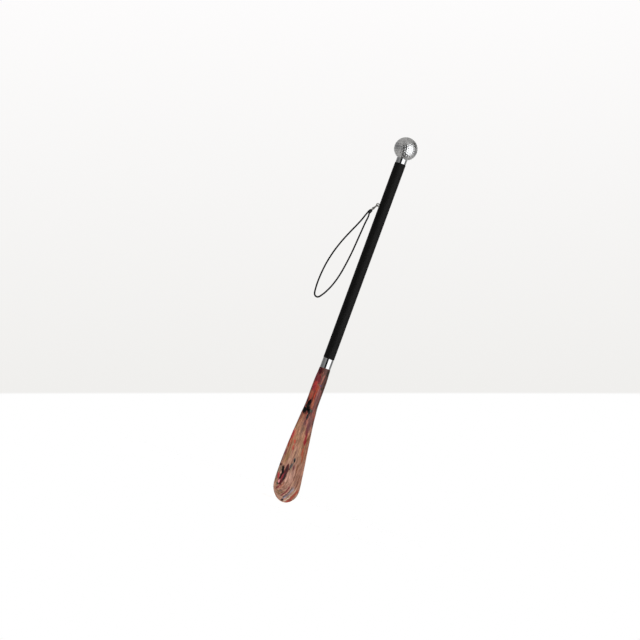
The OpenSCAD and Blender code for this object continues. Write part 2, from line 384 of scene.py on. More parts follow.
def make_sleeve():
    """Moulded sleeve that swells towards the two strands of the cord."""
    share = np.linspace(0, 1, SLEEVE_POINTS)
    points = [LINK_END + CORD_DOWN * (SLEEVE_TOP + SLEEVE_LENGTH * s) for s in share]
    swelling = np.sin(np.clip(share / SWELL_REACH, 0, 1) * math.pi / 2)
    swell = 1 - SLEEVE_SWELL + SLEEVE_SWELL * swelling
    top = rounded_end(share, reach=0.09, drop=0.6)
    end = rounded_end(1 - share, reach=0.08, drop=0.35)
    ribs = 1 - RIB_DEPTH * np.clip(np.cos(share * 2 * math.pi * RIB_COUNT), 0, 1) ** 4
    radius = SLEEVE_R * swell * top * end * ribs
    sleeve = sweep("sleeve", points, radius, SLEEVE_SIDES)
    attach(sleeve, "loop")
    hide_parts("cord_sleeve")
    return sleeve


screw_eye = make_screw_eye()
link = make_link()
crimp = make_crimp()
sleeve = make_sleeve()


# --- Knob, collar and ferrule ---

DIMPLE_ROWS = 6
DIMPLE_R = 1.78 * MM
DIMPLE_DEPTH = 0.3 * MM
DIMPLE_POWER = 1.1
BALL_LEVEL = 8
BALL_PARTS = 40  # in which the dimples are measured, to save memory
BALL_TILT = (0.3, 0.2, 1)  # where the top of the dimples' layout points
BAND_SIDES = 160
RIM_R = 0.7 * MM
INNER_RIM = 0.15 * MM


def spread_points(rows):
    """Even directions over a sphere, from the faces of an icosahedron split into rows."""
    shape = bmesh.new()
    bmesh.ops.create_icosphere(shape, subdivisions=1, radius=1)
    found = {}
    for face in shape.faces:
        a, b, c = (v.co for v in face.verts)
        for i in range(rows + 1):
            for j in range(rows + 1 - i):
                p = (a * i + b * j + c * (rows - i - j)).normalized()
                found[tuple(round(x, 4) for x in p)] = p
    shape.free()
    return np.array([tuple(p) for p in found.values()])


def make_ball():
    """Ball with pressed dimples all over, cut flat where it sits on the collar."""
    shape = bmesh.new()
    bmesh.ops.create_icosphere(shape, subdivisions=BALL_LEVEL, radius=1)
    mesh = bpy.data.meshes.new("ball")
    shape.to_mesh(mesh)
    shape.free()
    ways = np.zeros(len(mesh.vertices) * 3)
    mesh.vertices.foreach_get("co", ways)
    ways = ways.reshape(-1, 3)
    tilt = np.array(Vector(BALL_TILT).to_track_quat("Z", "Y").to_matrix())
    centres = spread_points(DIMPLE_ROWS) @ tilt.T
    parts = np.array_split(ways, BALL_PARTS)
    nearest = np.concatenate([(part @ centres.T).max(1) for part in parts])
    gap = BALL_R * np.sqrt(np.clip(2 - 2 * nearest, 0, None))
    bowl = np.clip(1 - (gap / DIMPLE_R) ** 2, 0, 1)
    ways *= (BALL_R - DIMPLE_DEPTH * bowl**DIMPLE_POWER)[:, None]
    mesh.vertices.foreach_set("co", ways.ravel())
    shape = bmesh.new()
    shape.from_mesh(mesh)
    seat = bmesh.ops.bisect_plane(
        shape,
        geom=shape.verts[:] + shape.edges[:] + shape.faces[:],
        plane_co=(0, 0, SEAT_Z),
        plane_no=(0, 0, -1),
        clear_outer=True,
    )
    rim = [e for e in seat["geom_cut"] if isinstance(e, bmesh.types.BMEdge)]
    bmesh.ops.holes_fill(shape, edges=rim)
    shape.to_mesh(mesh)
    shape.free()
    shade_smooth(mesh)
    ball = add_object("ball", mesh)
    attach(ball, "handle")
    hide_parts("ball_knob")
    return ball


def tube_profile(inner, outer, low, high):
    """Closed profile of a tube with rounded outer rims and lightly broken inner edges."""
    return [
        (inner, low + INNER_RIM),
        (inner + INNER_RIM, low),
        *arc((outer - RIM_R, low + RIM_R), RIM_R, -90, 0, 9),
        *arc((outer - RIM_R, high - RIM_R), RIM_R, 0, 90, 9),
        (inner + INNER_RIM, high),
        (inner, high - INNER_RIM),
    ]


def make_band(name, node, bore):
    """Turned metal band that takes its length and width from its CAD node."""
    low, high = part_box(node)
    band = lathe(name, tube_profile(bore, high.x, low.z, high.z), BAND_SIDES)
    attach(band, "handle")
    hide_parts(node)
    return band


ball = make_ball()
collar = make_band("collar", "knob_collar", STUD_R)
ferrule = make_band("shaft_ferrule", "ferrule", CORE_R)


# --- Leather and its seam ---

LEATHER_SIDES = 192
LEATHER_ROWS = 620
SEAM_TURN = math.pi / 2
SEAM_WIDTH = 0.45 * MM
SEAM_DEPTH = 0.4 * MM
STITCH_COUNT = 62
STITCH_END_GAP = 6 * MM
STITCH_REACH = math.radians(13)
STITCH_POINTS = 11
STITCH_SIDES = 8
HOLE_DEPTH = 0.22 * MM
HOLE_R = 0.5 * MM
FOLD_HEIGHT = 0.1 * MM  # of the turned edge, which swells a little below the rim
FOLD_PLACE = 1.6 * MM
FOLD_WIDTH = 1.2 * MM
SAG_DEPTH = 0.05 * MM
SAG_WAVES = 9
SAG_RATE = (0.02, 0.2)  # radians for each millimetre along the shaft
THREAD_R = 0.26 * MM
THREAD_SINK = 0.12 * MM
THREAD_LIFTS = (0.15 * MM, 0.4 * MM)  # of the lower and the upper stitch where the two cross


def waves(angle, height, count, low, high):
    """Gentle uneven waves over a tube: the mean of sines with seeded directions and phases."""
    total = np.zeros(np.broadcast(angle, height).shape)
    for _ in range(count):
        round_it = rng.integers(1, 5)
        along = rng.uniform(low, high)
        phase = rng.uniform(0, 2 * math.pi)
        total += np.sin(round_it * angle + along * height / MM + phase)
    return total / count


def stitch_levels():
    """Heights of the stitch holes, from the top down."""
    top = LEATHER_HIGH.z - STITCH_END_GAP
    return np.linspace(top, LEATHER_LOW.z + STITCH_END_GAP, STITCH_COUNT)


def make_leather():
    """Leather tube with rounded turned edges, a butted seam at the back and pulled stitch holes."""
    turn = np.linspace(0, 2 * math.pi, LEATHER_SIDES, endpoint=False)[None, :]
    z = np.linspace(LEATHER_LOW.z, LEATHER_HIGH.z, LEATHER_ROWS)[:, None]
    edge = np.minimum(z - LEATHER_LOW.z, LEATHER_HIGH.z - z)
    rim = RIM_R * (1 - np.sqrt(1 - np.clip(1 - edge / RIM_R, 0, 1) ** 2))
    fold = FOLD_HEIGHT * np.exp(-(((edge - FOLD_PLACE) / FOLD_WIDTH) ** 2))
    off_seam = (turn - SEAM_TURN) * LEATHER_R
    seam = SEAM_DEPTH * np.exp(-((off_seam / SEAM_WIDTH) ** 2))
    level_gap = np.abs(z - stitch_levels()[None, :]).min(1)[:, None]
    side_gap = np.abs(np.abs(off_seam) - STITCH_REACH * LEATHER_R)
    holes = HOLE_DEPTH * np.exp(-((level_gap**2 + side_gap**2) / HOLE_R**2))
    sag = SAG_DEPTH * (waves(turn, z, SAG_WAVES, *SAG_RATE) - 1)
    radius = LEATHER_R - rim + fold - seam - holes + sag
    rings = [*zip(radius, z[:, 0]), (CORE_R, LEATHER_HIGH.z), (CORE_R, LEATHER_LOW.z)]
    verts = np.concatenate(
        [
            np.stack([r * np.cos(turn[0]), r * np.sin(turn[0]), np.full(LEATHER_SIDES, h)], 1)
            for r, h in rings
        ]
    )
    faces = grid_faces(LEATHER_ROWS + 2, LEATHER_SIDES, closed=True)
    leather = add_mesh("leather", verts, faces)
    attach(leather, "handle")
    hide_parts("leather_sleeve")
    return leather


def make_thread():
    """Crossed stitches that lace the seam from hole to hole."""
    levels = stitch_levels()
    pieces = []
    for upper, lower in zip(levels[:-1], levels[1:]):
        for way, lift in zip((1, -1), THREAD_LIFTS):
            share = np.linspace(0, 1, STITCH_POINTS)
            angle = SEAM_TURN + way * STITCH_REACH * (2 * share - 1)
            rise = lift * np.sin(share * math.pi) ** 0.6
            r = LEATHER_R - THREAD_SINK + rise
            z = upper + (lower - upper) * share
            points = np.stack([r * np.cos(angle), r * np.sin(angle), z], 1)
            pieces.append(sweep("stitch", points, THREAD_R, STITCH_SIDES))
    thread = join("lacing", pieces)
    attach(thread, "handle")
    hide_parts("seam_thread")
    return thread


leather = make_leather()
thread = make_thread()


# --- Blade ---

BLADE_LENGTH = BLADE_TOP - TIP_Z
HALF_WIDTH = BLADE_HIGH.x
TIP_SWEEP = 27.5 * MM
HOLLOW_DEPTH = 9.5 * MM
TIP_ROUND = 30 * MM
SWEEP_START = 0.735
SWEEP_POWER = 1.8
SHOULDER = 0.6 * MM  # height over which the neck's top edge is rounded
SHOULDER_SHARE = 0.96
TENON_LENGTH = 9 * MM
TENON_SHARE = 0.99  # of the core's radius
BLADE_SIDES = 144
TIP_START = 1.5  # degrees round the tip at which its first ring lies
TIP_RINGS = 70
BODY_RINGS = 260
# Height over length, half width over greatest, half thickness in mm, hollow over depth, squareness
STATIONS = [
    (1.00, 0.383, 10.25, 0, 2),
    (0.90, 0.435, 11.65, 0, 2),
    (0.72, 0.440, 11.75, 0, 2),
    (0.66, 0.505, 10.4, 0.05, 2.1),
    (0.58, 0.585, 6.9, 0.35, 2.5),
    (0.50, 0.685, 3.9, 0.72, 3.1),
    (0.40, 0.790, 2.6, 0.95, 3.6),
    (0.28, 0.900, 2.2, 1, 3.8),
    (0.16, 0.980, 1.9, 0.92, 3.8),
    (0.08, 1.000, 1.6, 0.62, 3.6),
    (0.00, 1.000, 1.4, 0.12, 3.4),
]


def station(v):
    """All columns of STATIONS at height v, on the same curve as the solid."""
    last = len(STATIONS) - 1
    k = max(1, min(last, sum(1 for s in STATIONS if s[0] > v)))
    a, b, c, d = (np.array(STATIONS[min(last, max(0, i))]) for i in range(k - 2, k + 2))
    return catmull_rom(a, b, c, d, (b[0] - v) / (b[0] - c[0]))


def blade_section(height):
    """Closed section of the blade at a height above the tip."""
    v = height / BLADE_LENGTH
    _, width, thick, hollow, square = station(v)
    share = math.sqrt(max(0, 1 - max(0, 1 - height / TIP_ROUND) ** 2))
    half_w = HALF_WIDTH * width * share
    half_t = thick * MM * share**0.7
    depth = HOLLOW_DEPTH * hollow * share**2
    lean = TIP_SWEEP * max(0, (SWEEP_START - v) / SWEEP_START) ** SWEEP_POWER
    turn = np.linspace(0, 2 * math.pi, BLADE_SIDES, endpoint=False)
    s = np.sign(np.cos(turn)) * np.abs(np.cos(turn)) ** (2 / square)
    q = np.sign(np.sin(turn)) * np.abs(np.sin(turn)) ** (2 / square)
    x = half_w * s
    y = depth * (1 - s * s) - lean + half_t * q
    return np.stack([x, y, np.full(BLADE_SIDES, TIP_Z + height)], 1)


def make_blade():
    """Round neck that opens into the hollowed, forward-swept spoon."""
    turns = np.radians(np.linspace(TIP_START, 90, TIP_RINGS))
    tip = [TIP_ROUND * (1 - math.cos(a)) for a in turns]
    body = list(np.linspace(TIP_ROUND, BLADE_LENGTH - SHOULDER, BODY_RINGS)[1:])
    rings = [blade_section(h) for h in tip + body]
    shoulder = blade_section(BLADE_LENGTH) * [SHOULDER_SHARE, SHOULDER_SHARE, 1]
    tenon = shoulder.copy()
    scale = CORE_R * TENON_SHARE / np.linalg.norm(shoulder[:, :2], axis=1)
    tenon[:, :2] *= scale[:, None]
    rings += [shoulder, tenon, tenon + [0, 0, TENON_LENGTH]]
    count = len(rings)
    faces = grid_faces(count, BLADE_SIDES)
    faces += [
        tuple(range(BLADE_SIDES))[::-1],
        tuple(range((count - 1) * BLADE_SIDES, count * BLADE_SIDES)),
    ]
    blade = add_mesh("burl_blade", np.concatenate(rings), faces)
    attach(blade, "handle")
    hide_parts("blade")
    return blade


blade = make_blade()


# --- Materials ---


def linear(rgb):
    """A colour given as 0-255 screen values, as the linear colour that a shader takes."""
    shares = [c / 255 for c in rgb]
    return (*[s / 12.92 if s <= 0.04045 else ((s + 0.055) / 1.055) ** 2.4 for s in shares], 1)


def grey(value):
    """A grey as a shader colour."""
    return (value, value, value, 1)


def darkened(colour, share):
    """A shader colour with its light cut to a share."""
    return (*[share * c for c in colour[:3]], 1)


class Graph:
    """Short calls that add nodes to one node tree and link them."""

    def __init__(self, tree):
        self.tree = tree
        self.nodes = tree.nodes

    def put(self, socket, value):
        """Links an output to a socket, or sets the socket to a constant."""
        if isinstance(value, bpy.types.NodeSocket):
            self.tree.links.new(value, socket)
        else:
            socket.default_value = value

    def node(self, kind, sockets=None, **settings):
        made = self.nodes.new("ShaderNode" + kind)
        for key, value in settings.items():
            setattr(made, key, value)
        for key, value in (sockets or {}).items():
            self.put(made.inputs[key], value)
        return made

    def math(self, operation, a, b=0.0, c=0.0):
        made = self.node("Math", operation=operation)
        for socket, value in zip(made.inputs, (a, b, c)):
            self.put(socket, value)
        return made.outputs[0]

    def times(self, a, b):
        return self.math("MULTIPLY", a, b)

    def vector(self, operation, a, b=(0, 0, 0), out=0):
        made = self.node("VectorMath", operation=operation)
        self.put(made.inputs[0], a)
        self.put(made.inputs[1], b)
        return made.outputs[out]

    def dot(self, a, b):
        return self.vector("DOT_PRODUCT", a, b, out="Value")

    def scaled(self, a, scale):
        sockets = {0: a, "Scale": scale}
        return self.node("VectorMath", sockets, operation="SCALE").outputs[0]

    def combine(self, x, y, z):
        return self.node("CombineXYZ", {0: x, 1: y, 2: z}).outputs[0]

    def split(self, vector):
        return self.node("SeparateXYZ", {0: vector}).outputs

    def place(self):
        """Where the point is, in millimetres, fixed to the piece."""
        return self.scaled(self.node("TexCoord").outputs["Object"], 1 / MM)

    def noise(self, vector, scale, detail=2.0, roughness=0.5, distortion=0.0, out="Fac"):
        sockets = {"Vector": vector, "Scale": scale, "Detail": detail}
        sockets.update(Roughness=roughness, Distortion=distortion)
        return self.node("TexNoise", sockets).outputs[out]

    def streaky(self, vector, stretch, *settings):
        """Noise with its own scale along each axis."""
        return self.noise(self.vector("MULTIPLY", vector, stretch), 1.0, *settings)

    def cells(self, vector, scale, feature="F1"):
        sockets = {"Vector": vector, "Scale": scale}
        return self.node("TexVoronoi", sockets, feature=feature).outputs["Distance"]

    def span(self, value, low, high, to_low=0.0, to_high=1.0, smooth=True):
        sockets = {0: value, 1: low, 2: high, 3: to_low, 4: to_high}
        kind = "SMOOTHSTEP" if smooth else "LINEAR"
        return self.node("MapRange", sockets, interpolation_type=kind).outputs[0]

    def ramp(self, value, stops):
        made = self.node("ValToRGB", {0: value})
        points = made.color_ramp.elements
        for _ in range(len(stops) - 2):
            points.new(0.5)
        for point, (place, colour) in zip(points, stops):
            point.position = place
            point.color = colour
        return made.outputs["Color"]

    def mix(self, share, a, b, blend="MIX"):
        made = self.node("Mix", data_type="RGBA", blend_type=blend)
        self.put(made.inputs[0], share)
        self.put(made.inputs[6], a)
        self.put(made.inputs[7], b)
        return made.outputs[2]

    def bump(self, height, distance, normal=None, strength=1.0):
        sockets = {"Height": height, "Distance": distance, "Strength": strength}
        if normal is not None:
            sockets["Normal"] = normal
        return self.node("Bump", sockets).outputs[0]


class Surface(Graph):
    """A material with one Principled shader."""

    def __init__(self, name, **constants):
        self.material = bpy.data.materials.new(name)
        self.material.use_nodes = True
        super().__init__(self.material.node_tree)
        self.shader = self.nodes["Principled BSDF"]
        for key, value in constants.items():
            self.set(key.replace("_", " "), value)

    def set(self, socket, value):
        self.put(self.shader.inputs[socket], value)


def coat(piece, surface):
    """Gives a piece its one material."""
    piece.data.materials.clear()
    piece.data.materials.append(surface.material)


def metal(name, colour, low_rough, high_rough, scratch=0.004 * MM, tarnish=None):
    """Polished metal with fine scratches, smudges, and slightly darker or tarnished places."""
    s = Surface(name, Metallic=1.0)
    p = s.place()
    marks = s.noise(p, 0.11, 5, 0.6)
    tone = s.mix(s.span(marks, 0.35, 0.65), colour, darkened(colour, 0.88))
    if tarnish is not None:
        tone = s.mix(s.span(s.noise(p, 0.4, 4), 0.58, 0.75, 0, 0.6), tone, tarnish)
    s.set("Base Color", tone)
    smudge = s.noise(p, 0.3, 6, 0.65, 0.4)
    s.set("Roughness", s.span(smudge, 0.35, 0.7, low_rough, high_rough))
    hair = s.streaky(p, (6.0, 6.0, 0.6), 3)
    s.set("Normal", s.bump(hair, scratch))
    return s


def threaded(name, colour, pitch):
    """Metal with a screw thread wound round the shaft's axis: bumped, with painted shade in its
    grooves.
    """
    s = metal(name, colour, 0.25, 0.45)
    p = s.split(s.place())
    turn = s.math("DIVIDE", s.math("ARCTAN2", p[1], p[0]), 2 * math.pi)
    winding = s.math("ADD", s.math("DIVIDE", p[2], pitch), turn)
    ridge = s.math("PINGPONG", winding, 0.5)
    s.set("Normal", s.bump(ridge, 0.3 * MM))
    # Painted shade: the colour darkens to about a third in the thread's grooves
    groove_shade = s.span(ridge, 0.05, 0.3)
    s.set("Base Color", s.mix(groove_shade, darkened(colour, 0.35), colour))
    return s


def pale_wood(name):
    """Beech with long grain and short dark flecks."""
    s = Surface(name, Specular_IOR_Level=0.3)
    p = s.place()
    grain = s.streaky(p, (0.9, 0.9, 0.03), 5, 0.6, 0.8)
    flecks = s.streaky(p, (3.0, 3.0, 0.35), 1)
    rings = {0.3: (176, 128, 86), 0.55: (205, 162, 118), 0.8: (222, 186, 146)}
    tone = s.ramp(grain, [(at, linear(colour)) for at, colour in rings.items()])
    s.set("Base Color", s.mix(s.span(flecks, 0.62, 0.7, 0, 0.5), tone, linear((128, 84, 52))))
    s.set("Roughness", s.span(grain, 0.2, 0.8, 0.55, 0.7))
    s.set("Normal", s.bump(flecks, 0.04 * MM))
    return s


def black_leather():
    """Thin dyed leather: fine pebbled grain, pores, shallow creases and a few paler, worn spots."""
    s = Surface("black_leather", Specular_IOR_Level=0.2)
    p = s.place()
    bent = s.vector("ADD", p, s.scaled(s.noise(p, 0.8, 2, out="Color"), 0.7))
    pebbles = s.cells(bent, 1.15, feature="DISTANCE_TO_EDGE")
    pores = s.cells(s.vector("ADD", p, (7.3, 1.1, 3.7)), 2.6)
    long_way = s.vector("MULTIPLY", bent, (0.35, 0.35, 0.16))
    creases = s.cells(long_way, 1.0, feature="DISTANCE_TO_EDGE")
    grain = s.span(pebbles, 0.0, 0.22)
    crease = s.span(creases, 0.0, 0.05)
    patches = s.noise(p, 0.05, 4, 0.6)
    tone = s.mix(s.span(patches, 0.35, 0.68), linear((5, 4, 4)), linear((12, 11, 10)))
    tone = s.mix(s.math("SUBTRACT", 1.0, grain), tone, linear((7, 6, 6)))
    worn = s.span(s.noise(p, 0.35, 3), 0.62, 0.78, 0, 0.4)
    s.set("Base Color", s.mix(worn, tone, linear((30, 28, 26))))
    s.set("Roughness", s.span(s.noise(p, 0.5, 4), 0.3, 0.7, 0.46, 0.62))
    fine = s.bump(s.span(pores, 0.05, 0.3), 0.02 * MM)
    creased = s.bump(crease, 0.06 * MM, fine, 0.6)
    s.set("Normal", s.bump(grain, 0.07 * MM, creased))
    return s


def waxed_thread():
    """Waxed black thread, with its twist."""
    s = Surface("waxed_thread", Roughness=0.5, Sheen_Weight=0.15)
    p = s.place()
    twist = s.streaky(p, (5.0, 5.0, 2.5), 3, 0.6)
    s.set("Base Color", s.mix(twist, linear((12, 11, 11)), linear((34, 32, 30))))
    s.set("Normal", s.bump(twist, 0.08 * MM))
    return s


def moulded_rubber():
    """Black moulded rubber with a matt, slightly dusty skin."""
    s = Surface("black_rubber", Specular_IOR_Level=0.4)
    p = s.place()
    dust = s.noise(p, 1.3, 5, 0.6)
    skin = s.noise(p, 9.0, 2)
    s.set("Base Color", s.mix(s.span(dust, 0.45, 0.8), linear((8, 8, 8)), linear((22, 21, 20))))
    s.set("Roughness", s.span(dust, 0.3, 0.7, 0.42, 0.6))
    s.set("Normal", s.bump(skin, 0.015 * MM))
    return s


def braided_cord():
    """Black braid of fine filaments, with a few of them a little lighter."""
    s = Surface("black_braid", Roughness=0.8, Specular_IOR_Level=0.14)
    p = s.place()
    strands = s.streaky(p, (5.0, 5.0, 1.2), 3, 0.7, 0.6)
    filaments = s.noise(p, 4.5, 4, 0.7, 1.5)
    tone = s.mix(s.span(strands, 0.3, 0.7), linear((4, 4, 4)), linear((14, 14, 15)))
    s.set("Base Color", s.mix(s.span(filaments, 0.6, 0.8, 0, 0.5), tone, linear((28, 27, 28))))
    s.set("Normal", s.bump(filaments, 0.1 * MM))
    return s


chrome = metal("bright_chrome", (0.86, 0.87, 0.88, 1), 0.05, 0.11, 0.0015 * MM)
nickel = metal("dark_nickel", (0.3, 0.29, 0.27, 1), 0.2, 0.34, 0.01 * MM, (0.16, 0.14, 0.12, 1))
for shiny in (ball, collar, ferrule):
    coat(shiny, chrome)
for wire in (screw_eye, link, crimp):
    coat(wire, nickel)
coat(leather, black_leather())
coat(thread, waxed_thread())
coat(sleeve, moulded_rubber())
coat(cord, braided_cord())

INNER = {
    "knob_stud": threaded("threaded_steel", (0.55, 0.54, 0.52, 1), 1.25),
    "threaded_insert": threaded("threaded_brass", (0.72, 0.5, 0.2, 1), 1.5),
    "dowel_screw": threaded("screw_steel", (0.5, 0.48, 0.45, 1), 2.5),
    "shaft_core": pale_wood("beech"),
}
for node_name, surface in INNER.items():
    for slot in frame["nodes"][node_name].material_slots:
        slot.material = surface.material


# --- Burl blade ---

PIGMENTS = {
    "black": (6, 2, 2),
    "olive_black": (40, 34, 24),
    "dark_brown": (76, 48, 44),
    "umber": (138, 102, 86),
    "clay": (154, 104, 82),
    "slate_brown": (128, 104, 88),
    "dusty": (166, 132, 120),
    "maroon": (78, 18, 26),
    "oxblood": (84, 2, 12),
    "wine": (130, 46, 54),
    "plum": (116, 58, 64),
    "violet": (84, 66, 112),
    "crimson": (164, 52, 60),
    "brick": (174, 74, 58),
    "orange_red": (196, 62, 60),
    "sienna": (180, 104, 78),
    "salmon": (194, 134, 110),
    "tan": (172, 126, 96),
    "olive_tan": (146, 110, 78),
    "cream": (196, 152, 122),
    # rose: on the neck it is a painted highlight, the softbox's soft glint on the lacquer
    "rose": (158, 98, 88),
    "pale_rose": (204, 158, 140),
    "pink": (232, 150, 162),
    "mauve": (114, 70, 66),
    "dark_mauve": (106, 68, 62),
    "slate": (84, 80, 80),
    "grey_green": (76, 82, 66),
    "lavender": (152, 142, 152),
    "off_white": (212, 196, 172),
    "rust": (166, 72, 54),
}
# Streaks and blots as seen on the hollow side: pigment, distance to the right of the axis, height
# above the tip, half width and half length in millimetres, tilt in degrees, softness of the edge
STREAKS = [
    ("dark_mauve", 1.9, 245, 7.2, 10.9, 0, 0.6),
    ("maroon", -7.5, 244.7, 4.3, 9.7, 3, 0.5),
    ("dark_brown", 9, 238.5, 6.1, 16.3, 2, 0.5),
    ("olive_black", 8.3, 241.6, 2.2, 8.4, 2, 0.6),
    # Painted highlight: the rose streaks up the neck, just right of the axis, stand for the
    # softbox's glint on the lacquer
    ("rose", -0.6, 240.5, 1.1, 3.4, -6, 0.8),
    ("wine", -9.6, 231.2, 3.4, 9.3, 1, 0.6),
    ("wine", -3.4, 228.4, 2.7, 7.9, 6, 0.6),
    ("mauve", 0.1, 228.4, 1.8, 6.3, 4, 0.7),
    ("wine", -9.1, 231.8, 1.6, 6.1, 1, 0.6),
    # Painted highlight of the softbox on the lacquer, as a rose streak
    ("rose", 2.7, 229, 1.4, 7.7, 0, 0.7),
    ("dark_brown", 8.6, 218, 4.5, 18.6, 3, 0.6),
    ("mauve", 7.4, 191.6, 4.3, 25.8, 3, 0.6),
    ("plum", 5, 201.7, 1, 11.8, 2, 0.6),
    ("dark_brown", 12.3, 185.9, 2.5, 28.3, 3, 0.6),
    ("orange_red", -7, 216.3, 4, 8.8, 6, 0.5),
    ("brick", -1.4, 211.8, 2.2, 6.8, 0, 0.6),
    ("crimson", -6.6, 210.7, 2.2, 5.6, 4, 0.5),
    ("sienna", -7.1, 198.9, 4, 8.2, 0, 0.6),
    ("brick", -1.3, 199.4, 1.8, 7.7, 1, 0.6),
    ("brick", -6.4, 197.5, 1.6, 7.3, 1, 0.7),
    ("sienna", 0.6, 184.8, 2.2, 9, 2, 0.6),
    # Painted highlight of the softbox on the lacquer, as a rose streak
    ("rose", 3, 203.9, 1, 11.8, 2, 0.7),
    ("dark_brown", -0.6, 221.3, 0.8, 2.1, 90, 0.6),
    ("violet", 3.4, 218.8, 1.4, 1.8, 14, 0.6),
    ("olive_black", 6.8, 214.4, 1.2, 3.2, 10, 0.6),
    ("mauve", 8.6, 151.1, 5.6, 16.4, 8, 0.8),
    ("mauve", -0.3, 148.8, 2.7, 12.6, 2, 0.9),
    ("dark_brown", -9.9, 185.4, 1.5, 4.7, 3, 0.6),
    ("black", -5.8, 182.6, 2.7, 7, -7, 0.3),
    ("olive_black", -5.8, 176.4, 2.2, 5.5, 80, 0.4),
    ("black", -9.1, 168.2, 3.4, 6.6, 12, 0.35),
    ("black", -1.9, 169.9, 3.6, 7.3, 40, 0.35),
    ("grey_green", 2.8, 170.7, 1.9, 4, 15, 0.45),
    ("maroon", -5, 163.6, 1.5, 2.5, 63, 0.5),
    ("black", -0.4, 159.8, 1.9, 6.9, 2, 0.35),
    ("plum", 1.2, 146.6, 1.1, 7.4, 7, 0.5),
    # Painted highlight of the softbox on the lacquer, as a rose streak
    ("rose", 3.5, 151.6, 0.9, 13.4, 0, 0.7),
    ("dark_brown", 14.5, 148.8, 2.7, 13.8, 8, 0.7),
    ("clay", -7.4, 143.8, 4.3, 18.5, -2, 0.7),
    ("sienna", -11.5, 143.2, 1.4, 13.1, -3, 0.7),
    ("olive_tan", -10.8, 137.6, 1.8, 13.3, -2, 0.7),
    ("umber", -0.7, 131.4, 2.7, 10.9, 2, 0.8),
    ("plum", 7.9, 136.7, 3.4, 11.1, 8, 0.55),
    ("mauve", 12.3, 139.3, 1.6, 9.3, 7, 0.7),
    ("umber", 15.5, 130.8, 1.8, 11.1, 6, 0.7),
    ("crimson", 10.1, 124.1, 2, 5.6, 9, 0.5),
    ("crimson", -13.9, 120.4, 1.7, 9, 2, 0.6),
    ("brick", -14.5, 103.5, 1.6, 8.9, 0, 0.6),
    ("sienna", -11.2, 115.1, 1.4, 15.3, 2, 0.8),
    ("brick", -5.6, 108.6, 1.7, 6.3, 10, 0.6),
    ("brick", -4.5, 96.8, 1.5, 5.5, 5, 0.6),
    ("wine", 8.1, 128.1, 3.4, 9.1, 14, 0.5),
    ("crimson", 11.4, 115, 2.7, 11.8, 12, 0.5),
    ("brick", 14, 96, 1.4, 9.7, 3, 0.7),
    ("sienna", 17.3, 86.4, 1.8, 11.6, 6, 0.8),
    ("cream", 0.2, 89.2, 1.7, 9.8, 0, 0.7),
    ("cream", 9.1, 93.1, 1.8, 9.4, 5, 0.7),
    ("umber", 3.5, 91.5, 1.4, 8.6, 0, 0.7),
    ("plum", -15.6, 85.8, 1.6, 7.5, 0, 0.7),
    ("slate", 5.4, 75.9, 1.9, 6.2, 5, 0.45),
    ("black", 5.7, 74.9, 1.2, 4.3, 3, 0.5),
    ("slate", 3.9, 65.1, 2, 6.2, -6, 0.5),
    ("plum", 8.6, 63, 1.6, 6.2, 7, 0.7),
    ("olive_black", 2.9, 58.2, 1.4, 2.3, -8, 0.7),
    ("umber", -15.8, 71.8, 1.5, 6.9, 0, 0.8),
    ("oxblood", -15.9, 61.9, 2.7, 3.3, 82, 0.4),
    ("slate_brown", -15.4, 42.5, 3.8, 14.9, 0, 0.9),
    ("olive_tan", -9.7, 79.1, 3.8, 14.3, -1, 0.8),
    ("slate_brown", -1.6, 16.1, 1.8, 7.3, -45, 0.8),
    ("sienna", -12.9, 49.8, 1.5, 6.4, -1, 0.7),
    ("crimson", -12.4, 40.8, 2.2, 5.8, 14, 0.5),
    ("pale_rose", -10, 45.9, 1, 5.6, -4, 0.6),
    ("slate_brown", -12.8, 54.3, 2.9, 8.2, 2, 0.9),
    ("black", -8.1, 54.3, 2.6, 8.8, 12, 0.35),
    ("black", -7.3, 44.1, 2.7, 8.8, -8, 0.35),
    ("oxblood", -2.1, 56.5, 3.5, 9.7, -2, 0.35),
    ("black", -2.4, 56.3, 0.9, 6.4, -1, 0.5),
    ("oxblood", -2.2, 42, 3, 11.1, -2, 0.4),
    ("black", -1.5, 42.2, 1, 8.7, -2, 0.5),
    ("oxblood", -4.8, 31.7, 3.1, 6.5, -21, 0.4),
    ("wine", -5.1, 42, 1.6, 7, -7, 0.5),
    ("crimson", -5, 42.2, 0.9, 4.7, -6, 0.6),
    ("pink", -7.5, 32.7, 1.7, 3.6, -7, 0.45),
    ("oxblood", -9.1, 35.3, 1.4, 2.2, 13, 0.5),
    ("grey_green", -9.7, 28, 1.5, 3.4, 20, 0.45),
    ("wine", -6.1, 22.6, 1.7, 6.5, -34, 0.8),
    ("pale_rose", 2.2, 42, 1.4, 9.7, 1, 0.7),
    ("sienna", -0.9, 26.8, 0.9, 7, -20, 0.7),
    ("pale_rose", 3.6, 41.4, 0.8, 12.2, -3, 0.6),
    ("clay", 14.6, 63.3, 1.6, 8.7, 7, 0.8),
    ("pale_rose", 13.2, 55.5, 1.1, 7.4, 10, 0.7),
    ("pale_rose", 9.1, 45.3, 2.9, 11.7, 9, 0.9),
    ("olive_tan", -3, 14.1, 1.4, 6.8, 60, 0.8),
    ("umber", 5.7, 23.4, 1.1, 7, -38, 0.8),
    ("olive_tan", 2.6, 16.1, 1.1, 6.7, -43, 0.8),
    ("rose", 6.9, 11.6, 1.1, 4.3, -27, 0.8),
    ("violet", 9.9, 9.4, 1.7, 3.3, -16, 0.5),
    ("grey_green", 11.9, 8.2, 1, 3.1, -20, 0.5),
    ("black", 8.2, 2.5, 2.6, 3, -86, 0.35),
]
